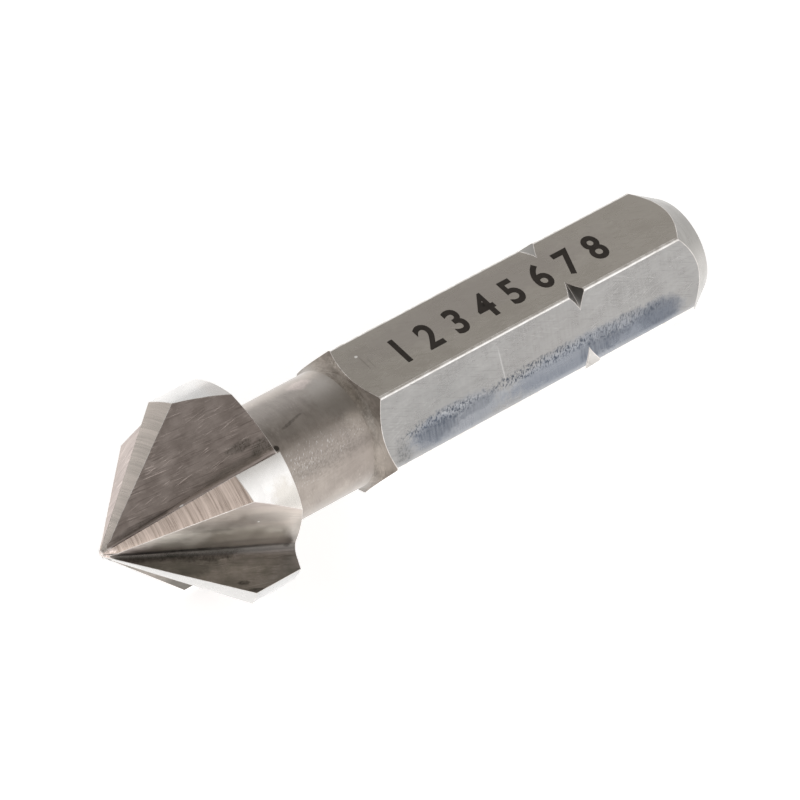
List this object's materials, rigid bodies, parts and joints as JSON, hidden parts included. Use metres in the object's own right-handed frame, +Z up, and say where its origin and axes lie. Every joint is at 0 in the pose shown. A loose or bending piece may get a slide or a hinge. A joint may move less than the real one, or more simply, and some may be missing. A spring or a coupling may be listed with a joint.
{
  "type": "countersink bit",
  "caption": "Steel countersink bit: fluted conical cutting head on a turned neck, with a grooved hexagonal shank for quick-change holders.",
  "frame": {"origin": "centre of the bounding box's base, on the surface that the bit lies on", "axes": "+Z up; +X from the cutting point towards the shank's rear end, whose axis slopes 4.44 degrees down towards +X; +Y across the bit"},
  "size_m": [0.0348, 0.0102, 0.0103],
  "materials": {
    "ground_steel": "ground and turned bright steel, satin, with fine grinding lines"
  },
  "bodies": {
    "root": {"countersink_bit": "ground_steel"}
  },
  "joints": []
}
